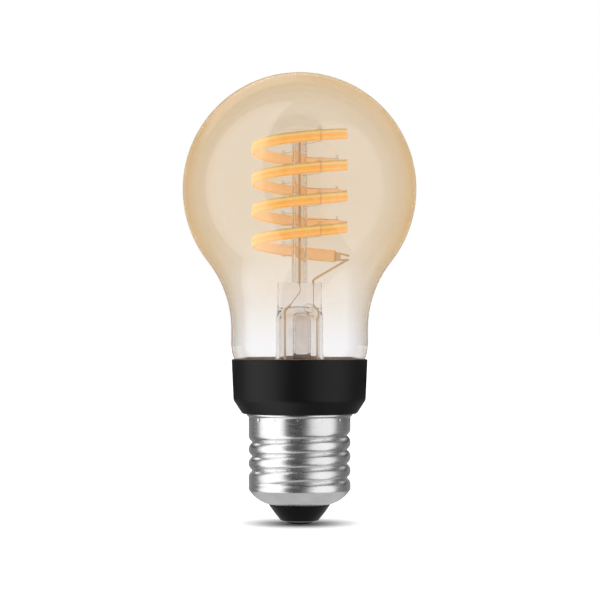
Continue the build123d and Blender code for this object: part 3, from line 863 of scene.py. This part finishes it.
def drawn_wire(path, radius, across=(0, 1, 0), sides=16):
    """Round wire along a path: a ring of points about each path point, of one radius or of
    one for each point, spanned by two directions square to the path. Both ends are closed."""
    path = np.asarray(path, float)
    along = np.gradient(path, axis=0)
    along /= np.linalg.norm(along, axis=1)[:, None]
    first = np.cross(along, np.asarray(across, float))
    first /= np.linalg.norm(first, axis=1)[:, None]
    second = np.cross(along, first)
    turn = np.linspace(0, 2 * np.pi, sides + 1)[None, :, None]
    ring = np.cos(turn) * first[:, None] + np.sin(turn) * second[:, None]
    ends = [np.repeat(path[i : i + 1], sides + 1, axis=0)[None] for i in (0, len(path) - 1)]
    radius = np.broadcast_to(radius, len(path))[:, None, None]
    return np.concatenate((ends[0], path[:, None] + radius * ring, ends[1]))


def turned_by(angle, out, aside, height):
    """Points given as outwards, sideways and height, turned about the bulb's axis: x is out
    times the cosine less aside times the sine, y is out times the sine plus aside times
    the cosine."""
    x = out * math.cos(angle) - aside * math.sin(angle)
    y = out * math.sin(angle) + aside * math.cos(angle)
    return joined(x, y, height)


def on_strip(angle, height, outwards=0.0, along=0.0, up=0.0):
    """Points near the strip: outwards from its middle radius, along its climbing direction
    and up square to that, at a turn angle and a height."""
    aside = along * math.cos(climb) - up * math.sin(climb)
    rise = along * math.sin(climb) + up * math.cos(climb)
    return turned_by(angle, coil_radius + outwards, aside, height + rise)


left_path = eased(
    [
        (-left_offset, 0, lead_bottom),
        (-left_offset, 0, stem_top + 1.3),
        (-left_offset / 2, 0, press_bottom + 0.9),
        (lead_radius, 0, press_top - 2.2),
        (0, 0, press_top - 0.6),
        (0, 0, press_top + 0.02),
    ],
    [1.0, 1.2, 0.6, 0.25],
)
weld_inset = -terminal_thickness / 2 - lead_radius
right_weld = on_strip(
    coil_start, coil_bottom_z, weld_inset, -lower_weld_reach, -terminal_tip_height / 2
)
right_path = eased(
    [
        (right_offset, 0, lead_bottom),
        (right_offset, 0, stem_top + 1.7),
        (right_offset - right_inset, 0, press_bottom + 0.1),
        (right_offset - right_inset, 0, press_top + 0.75),
        right_weld,
    ],
    [0.6, 0.6, 0.7],
)
conductor_weld = on_strip(0, coil_top_z, weld_inset, upper_weld_reach)
conductor_path = eased(
    [(0, 0, press_top + 0.04), (0, 0, post_top + 0.8), conductor_weld],
    [0.7],
)

lead_metal, tree, shader = new_finish("lead_metal", Metallic=0.5, Roughness=0.3)
in_press = product(
    along_axis(tree, "Z", 1, 0, *clad_top_fade), along_axis(tree, "Z", 0, 1, *clad_low_fade)
)
tarnish = spread(grain(tree, 0.6), 0, 1)
lead_tone = blend_colours(tarnish, (0.7, 0.5, 0.27), (0.82, 0.62, 0.37))
in_tube = along_axis(tree, "Z", 1, 0, *tube_fade)
lead_tone = blend_colours(in_tube, lead_tone, (0.84, 0.68, 0.47))
lead_tone = blend_colours(in_press, lead_tone, (0.8, 0.6, 0.38))
feed(shader, Base_Color=lead_tone)
relief(shader, tarnish, 0.004)

for name, path, node in (
    ("left_lead", left_path, "left_lead_wire"),
    ("right_lead", right_path, "right_lead_wire"),
    ("conductor", conductor_path, "post_conductor"),
):
    steps = np.linspace(0, len(path) - 1, 6 * len(path))
    path = np.stack([np.interp(steps, range(len(path)), axis) for axis in path.T], axis=-1)
    depths = np.stack((path[:, 2] - press_bottom, press_top - path[:, 2]))
    gripped = np.prod(np.clip(depths / clad_taper, 0, 1), axis=0)
    wire = skin(name, drawn_wire(path, lead_radius + (clad_radius - lead_radius) * gripped))
    fit_piece(wire, lead_metal, node)


# --- Light strip
# A flexible strip wound in a right-handed spiral about the post. Its outer face has
# two lines of phosphor, cool above warm, over rows of chips; its inner face has a coat.

strip_height = 2.8
carrier_height = 2.5
carrier_thickness = 0.15
coat_depth = 0.385
edge_share = 0.12
bow_power = 3.2
strip_rows = 420
end_round = 0.45
# Span along X in millimetres of the painted light on the spiral's left side.
painted_light_side = (-4.0, -12.5)


def wound_strip(outline, end_length=end_round):
    """Layer of the strip: a closed (outwards, up) outline carried up the spiral. x and y are
    the middle radius plus the outward offset, times the cosine and sine of the turn; the
    outline shrinks to its middle by a quarter circle at each end."""
    outline = np.asarray(outline, float)
    share = np.linspace(0, 1, strip_rows)
    length = coil_turns * math.hypot(2 * math.pi * coil_radius, coil_pitch)
    near_end = np.minimum(share, 1 - share) * length
    ends = np.linspace(0, 1, 6)[:-1] ** 2 * end_length / length
    share = np.unique(np.concatenate((ends, share[near_end > end_length], 1 - ends)))
    near_end = np.clip(np.minimum(share, 1 - share) * length / end_length, 0, 1)
    size = np.sqrt(1 - (1 - near_end) ** 2)[:, None]
    middle = outline[:-1].mean(axis=0)
    out, up = (middle + (outline - middle) * size[..., None]).transpose(2, 0, 1)
    turns = coil_turns * share[:, None]
    return around(
        coil_radius + out, coil_start + 2 * np.pi * turns, coil_bottom_z + coil_pitch * turns + up
    )


def bead_outline(back, depth, low, high, points=13):
    """Outline of a phosphor coat, flat at the back. Its front follows one bow across the
    strip's whole height: an edge's share of the depth, and the rest of it times the root of
    one less a power of the height's share of the half height."""
    near_ends = np.sin(np.linspace(-np.pi / 2, np.pi / 2, points))
    up = (low + high) / 2 + (high - low) / 2 * near_ends
    bow = np.sqrt(1 - np.clip(np.abs(2 * up / strip_height), 0, 1) ** bow_power)
    front = joined(back + depth * (edge_share + (1 - edge_share) * bow), up)
    rear = joined(back, np.linspace(high, low, 5))
    return np.concatenate((front, rear, front[:1]))


def flat_outline(back, front, half):
    """Thin flat outline with the given faces and half height."""
    corners = [(back, 0), (back, -half), (front, -half), (front, half), (back, half), (back, 0)]
    return eased(corners, 0.3 * abs(front - back), 2)


def across_strip(x, y, z):
    """How far a point lies across the strip, from -1 at its lower edge to 1 at its upper
    edge: its height above the spiral at its own turn, wrapped to a pitch."""
    spiral = coil_bottom_z + coil_pitch * (np.arctan2(y, x) - coil_start) / (2 * np.pi)
    above = (z - spiral + coil_pitch / 2) % coil_pitch - coil_pitch / 2
    return 2 * above / strip_height


def phosphor_finish(name, glow, *stops):
    """Phosphor in soft silicone, grainy and a little translucent, with a faint glow of its
    own. Each stop is a place across the strip and its colour. Round the spiral's left side
    it is painted paler and made to glow more: painted light, as if lit from that side."""
    finish, tree, shader = new_finish(
        name, Roughness=0.5, Subsurface_Weight=0.2, Subsurface_Scale=0.0006
    )
    height = spread(read_values(tree, "across"), 0, 1, -1, 1)
    tones = colour_steps(height, *(((place + 1) / 2, colour) for place, colour in stops))
    painted_light_share = along_axis(tree, "X", 0, 0.6, *painted_light_side)
    patch = spread(grain(tree, 1.8, 2.0), 0, 0.25)
    worn = blend_colours(patch, tones, (1.0, 0.72, 0.36))
    mixed = blend_colours(painted_light_share, worn, (1.0, 0.74, 0.38))
    glow_and_painted_light = spread(painted_light_share, glow, glow + 0.2, 0, 0.6)
    feed(shader, Base_Color=mixed, Emission_Color=mixed, Emission_Strength=glow_and_painted_light)
    relief(shader, grain(tree, 0.22, 4.0), 0.03, 0.7)
    return finish


carrier_face = carrier_thickness / 2
carrier_outline = flat_outline(-carrier_face, carrier_face, carrier_height / 2)
carrier = skin("strip_carrier", wound_strip(carrier_outline, 0.1))
carrier_film = mottled("carrier_film", (0.75, 0.66, 0.5), (0.82, 0.74, 0.58), 0.35, 1.2)
fit_piece(carrier, carrier_film, "filament_carrier")
face = carrier_face + seam
# Painted highlights and shade across the lines: the pale stops in the middle of each line and along
# the lower edges of the warm line and the rear coat are painted highlights, the olive at the cool
# line's upper edge is painted shade, and the rear coat darkens towards its upper edge.
painted_shade_olive, yellow, painted_highlight_yellow = (0.5, 0.33, 0.1), (0.8, 0.5, 0.12), (0.92, 0.64, 0.24)
orange, painted_highlight_peach = (1.0, 0.45, 0.05), (1.0, 0.58, 0.2)
cool_stops = ((0.0, orange), (0.15, yellow), (0.45, painted_highlight_yellow), (0.7, yellow), (0.85, painted_shade_olive))
cool_phosphor = phosphor_finish("cool_phosphor", 0.28, *cool_stops, (1.0, painted_shade_olive))
warm_stops = ((-1.0, painted_highlight_peach), (-0.8, orange), (-0.55, painted_highlight_peach), (-0.3, orange), (0.0, orange))
warm_phosphor = phosphor_finish("warm_phosphor", 0.3, *warm_stops)
rear_stops = ((-0.6, (0.96, 0.62, 0.34)), (0.6, (0.93, 0.58, 0.3)), (1.0, (0.8, 0.46, 0.2)))
rear_phosphor = phosphor_finish("rear_phosphor", 0.24, (-1.0, painted_highlight_peach), *rear_stops)
half_strip = strip_height / 2
cool_line = skin("cool_white_line", wound_strip(bead_outline(face, coat_depth, seam, half_strip)))
fit_piece(cool_line, cool_phosphor, "cool_phosphor_line")
warm_line = skin("warm_white_line", wound_strip(bead_outline(face, coat_depth, -half_strip, -seam)))
fit_piece(warm_line, warm_phosphor, "warm_phosphor_line")
rear_outline = bead_outline(-face, -coat_depth, -half_strip, half_strip)
rear_coat = skin("rear_phosphor_coat", wound_strip(rear_outline))
fit_piece(rear_coat, rear_phosphor, "rear_phosphor")
for coat in (cool_line, warm_line, rear_coat):
    write_values(coat, "across", across_strip)
chip_finish = mottled("led_chip", (0.45, 0.5, 0.52), (0.55, 0.6, 0.62), 0.25, 0.3)
dress_node(chip_finish, "cool_led_chips", "warm_led_chips")


# --- Strip terminals
# Two forked tabs of thin nickel, one at each end of the strip's carrier. The conductor
# and the right lead are welded to their prongs.

terminal_length = 5.5
fork_slot = 0.8
fork_tip_slot = 0.4
fork_length = 3.6
tab_start = 0.17


def forked_tab(angle, height, side):
    """Forked tab: the solid root and the two prongs, each a flat outline carried straight
    along the strip's direction while its lower and upper edges run evenly to the tip."""
    tip = tab_start + terminal_length
    fork = tip - fork_length
    flat = flat_outline(-terminal_thickness / 2, terminal_thickness / 2, 1.0)
    grids = []
    for start, end, prong in ((tab_start, fork + 0.1, 0), (fork, tip, 1), (fork, tip, -1)):
        along = np.array([start, start, start + 0.04, end - 0.04, end, end])
        heights = (terminal_height / 2, terminal_tip_height / 2)
        outer = np.interp(along, (tab_start, tip), heights)
        slot = np.interp(along, (fork, tip), (fork_slot / 2, fork_tip_slot / 2))
        near, far = (prong * slot, prong * outer) if prong else (-outer, outer)
        shrink = np.array([0.0, 0.8, 1.0, 1.0, 0.8, 0.0])
        half = (np.abs(far - near) / 2 * shrink)[:, None]
        up = ((near + far) / 2)[:, None] + flat[:, 1] * half
        outwards = flat[:, 0] * shrink[:, None]
        grids.append(on_strip(angle, height, outwards, side * along[:, None], up))
    return grids


lower_tab = skin("lower_strip_tab", *forked_tab(coil_start, coil_bottom_z, -1))
tab_metal = mottled("tab_metal", (0.8, 0.6, 0.36), (0.9, 0.72, 0.48), 0.35, 0.5, Metallic=0.4)
fit_piece(lower_tab, tab_metal, "lower_terminal")
upper_tab = skin("upper_strip_tab", *forked_tab(0.0, coil_top_z, 1))
fit_piece(upper_tab, tab_metal, "upper_terminal")


# --- Strip supports
# Fine springy wires sealed into the post. Each goes under the strip, up its outer
# face, makes a small eye on top and comes back to the post.

support_radius = 0.055
support_angles = (-64.5, 111.3, 35.0)
eye_radius = 0.38
strip_edge = half_strip + support_radius + 0.1
hook_reach = carrier_face + coat_depth + support_radius + 0.05
hook_out, hook_in = coil_radius + hook_reach, coil_radius - hook_reach

spring_wire = mottled(
    "spring_wire", (0.42, 0.33, 0.22), (0.56, 0.45, 0.32), 0.35, 0.3, Metallic=0.5
)


def support_path():
    """Line of one support, as (outwards, sideways, up): under the strip, up its outer face
    and over its edge, round an eye that stands on the edge, and back to the post. The eye
    is a circle, r sin and r (1 - cos) of the turn, that moves inwards by a wire's width."""
    shift = support_radius * 2.2
    turn = np.linspace(0, 2 * np.pi, 25)
    eye = joined(
        coil_radius - shift * turn / (2 * np.pi),
        eye_radius * np.sin(turn),
        strip_edge + eye_radius * (1 - np.cos(turn)),
    )
    rising = [(post_radius, 0, -strip_edge), (hook_out, 0, -strip_edge), (hook_out, 0, strip_edge)]
    falling = [eye[-1], (hook_in, 0, strip_edge), (post_radius, 0, strip_edge - 0.35)]
    return np.concatenate(
        (eased([*rising, eye[0]], [0.35, 0.2], 5), eye[1:], eased(falling, [0.2], 5)[1:])
    )


support_number = 0
support_line = support_path()
for angle in support_angles:
    turns_below_top = (-angle % 360) / 360
    while turns_below_top < coil_turns:
        support_number += 1
        turn = math.radians(angle)
        out, side, up = support_line.T
        path = turned_by(turn, out, side, coil_top_z - coil_pitch * turns_below_top + up)
        askew = (math.cos(turn + 0.93), math.sin(turn + 0.93), 0)
        wire = skin(f"strip_support_{support_number}", drawn_wire(path, support_radius, askew, 10))
        fit_piece(wire, spring_wire, f"filament_support_{support_number}")
        turns_below_top += 1


# --- Studio: a white floor and room, two tall light panels and soft lamps
# The panels show in mirror reflections only. They stand beside the bulb and leave a dark
# gap in front. Each is a product of soft steps across its edges, times a strength.


def total(*factors):
    """Sum of several factors."""
    return combined("ADD", *factors)


def set_on_stage(thing, finish, *hidden_from):
    """Give an object of the studio its finish, and hide it from some kinds of ray."""
    thing.data.materials.append(finish)
    for ray in hidden_from:
        setattr(thing, f"visible_{ray}", False)


floor_edges = (-20000, 20000)
floor_z = -0.02
# A painted contact shadow: the paper seen by the camera is darker round a point just behind the
# tip, from the core out to the reach, in millimetres.
painted_shadow_middle_y = 4.5
painted_shadow_core, painted_shadow_reach = 4.0, 15.8
floor_grid = [[(x, y, floor_z) for x in floor_edges] for y in floor_edges]
floor = skin("studio_floor", np.array(floor_grid, float))
floor_finish, tree, shader = new_finish("white_floor", Roughness=1.0, Specular_IOR_Level=0.0)
floor_path = tree.nodes.new("ShaderNodeLightPath")
floor_place = tree.nodes.new("ShaderNodeTexCoord")
floor_reach = tree.nodes.new("ShaderNodeVectorMath")
floor_reach.operation = "DISTANCE"
floor_reach.inputs[1].default_value = (0, painted_shadow_middle_y / 1000, 0)
tree.links.new(floor_place.outputs["Object"], floor_reach.inputs[0])
painted_shadow_edge = (painted_shadow_core / 1000, painted_shadow_reach / 1000)
# Painted shadow: darker paper under the foot, added to the shadow that the bulb casts.
painted_shadow_share = spread(floor_reach.outputs["Value"], 0, 1, *painted_shadow_edge)
paper_with_painted_shadow = blend_colours(painted_shadow_share, (0.36, 0.35, 0.355), (1.35, 1.35, 1.35))
floor_tone = blend_colours(floor_path.outputs["Is Camera Ray"], (0.8, 0.8, 0.8), paper_with_painted_shadow)
feed(shader, Base_Color=floor_tone)
set_on_stage(floor, floor_finish, "glossy", "transmission")

# A grey card under the cap and a dark flag behind the collar, which show in mirror
# reflections only.
card_radius, card_z = 24, -0.01
card_grid = turned([(0, card_z), (card_radius, card_z)], 64)
flag_back, flag_edges, flag_heights = 45, (-120, 120), (28.2, 41.8)
flag_grid = np.array([[(x, flag_back, z) for x in flag_edges] for z in flag_heights], float)
for name, grid, glow in (("grey_card", card_grid, 0.57), ("dark_flag", flag_grid, 0.0)):
    plain_finish, tree, shader = new_finish(name, Roughness=1.0, Specular_IOR_Level=0.0)
    shader.inputs["Base Color"].default_value = (0, 0, 0, 1)
    shader.inputs["Emission Color"].default_value = (1, 1, 1, 1)
    shader.inputs["Emission Strength"].default_value = glow
    hidden_from = ("camera", "diffuse", "transmission", "shadow")
    set_on_stage(skin(name, grid), plain_finish, *hidden_from)

world = bpy.data.worlds.new("studio")
bpy.context.scene.world = world
world.use_nodes = True
sky = world.node_tree
background = sky.nodes["Background"]
direction = sky.nodes.new("ShaderNodeTexCoord").outputs["Generated"]


def beyond(normal, start=-0.02, end=0.02):
    """Soft step from 0 to 1 where the direction crosses the plane of a normal: the dot
    product of the two, from start to end."""
    dot = sky.nodes.new("ShaderNodeVectorMath")
    dot.operation = "DOT_PRODUCT"
    sky.links.new(direction, dot.inputs[0])
    dot.inputs[1].default_value = normal
    step = spread(dot.outputs["Value"], 0, 1, start, end)
    step.node.interpolation_type = "SMOOTHSTEP"
    return step


left_edge = total(
    product(beyond((-0.245, -0.97, 0)), 0.55),
    product(beyond((-0.245, -0.97, 0), 0.0, 0.28), 0.45),
)
left_panel = product(left_edge, beyond((-0.77, 0.62, -0.11), -0.1, -0.03), 1.45)
right_panel = product(
    beyond((0.03, -1, 0), -0.085, 0.193),
    beyond((0.43, -0.78, -0.44), -0.05, 0.1),
    beyond((0.76, 0, 0.65)),
    beyond((0.985, 0.174, 0), 0.0, 0.42),
    1.1,
)
back_strength = total(
    product(beyond((-1, 0, 0), -0.12, 0.12), 1.2), product(beyond((0, 0, 1)), 0.7)
)
back_light = product(beyond((0, 1, 0), 0.5, 0.62), beyond((0, 0, 1), 0.3, 0.5), back_strength)
back_grey = total(
    product(beyond((0, 1, 0), 0.0, 0.15), 0.12),
    product(beyond((0, 1, 0), 0.65, 0.95), 0.15),
)
ground = product(beyond((0, 0, -1), 0.36, 0.46), beyond((0, 0.78, -0.62), -0.04, 0.06), 0.12)
mirrored = total(left_panel, right_panel, back_light, either(back_grey, ground), 0.07)
sky_path = sky.nodes.new("ShaderNodeLightPath")
room = sky.nodes.new("ShaderNodeMix")
sky.links.new(sky_path.outputs["Is Glossy Ray"], room.inputs["Factor"])
room.inputs["A"].default_value = 0.95
sky.links.new(mirrored, room.inputs["B"])
clear = sky.nodes.new("ShaderNodeMix")
white = either(sky_path.outputs["Is Camera Ray"], sky_path.outputs["Is Transmission Ray"])
sky.links.new(white, clear.inputs["Factor"])
sky.links.new(room.outputs["Result"], clear.inputs["A"])
clear.inputs["B"].default_value = 1.0
sky.links.new(clear.outputs["Result"], background.inputs["Strength"])
background.inputs["Color"].default_value = (1, 1, 1, 1)

bulb_middle = (0, 0, 0.06)


def softbox(name, place, width, height, power):
    """Rectangular soft lamp at a place in metres, turned towards the bulb's middle. Mirror
    reflections show the room's panels in its stead."""
    lamp = bpy.data.lights.new(name, "AREA")
    lamp.shape = "RECTANGLE"
    lamp.size = width
    lamp.size_y = height
    lamp.energy = power
    holder = bpy.data.objects.new(name, lamp)
    bpy.context.scene.collection.objects.link(holder)
    holder.location = place
    away = Vector(place) - Vector(bulb_middle)
    holder.rotation_euler = away.to_track_quat("Z", "Y").to_euler()
    holder.visible_glossy = False
    holder.visible_transmission = False


softbox("left_softbox", (-0.8, -0.35, 0.2), width=0.9, height=1.4, power=1.2)
softbox("right_softbox", (0.9, -0.6, 0.3), width=0.5, height=1.2, power=0.8)

upward_tilt = 1.17
camera_data = bpy.data.cameras.new("camera")
camera_data.lens = 120.6
camera_data.sensor_width = 36
camera = bpy.data.objects.new("camera", camera_data)
bpy.context.scene.collection.objects.link(camera)
camera.location = (0.00011, -0.52, 0.0473)
camera.rotation_euler = (math.radians(90 + upward_tilt), 0, 0)
bpy.context.scene.camera = camera
bpy.context.scene.view_settings.view_transform = "Standard"
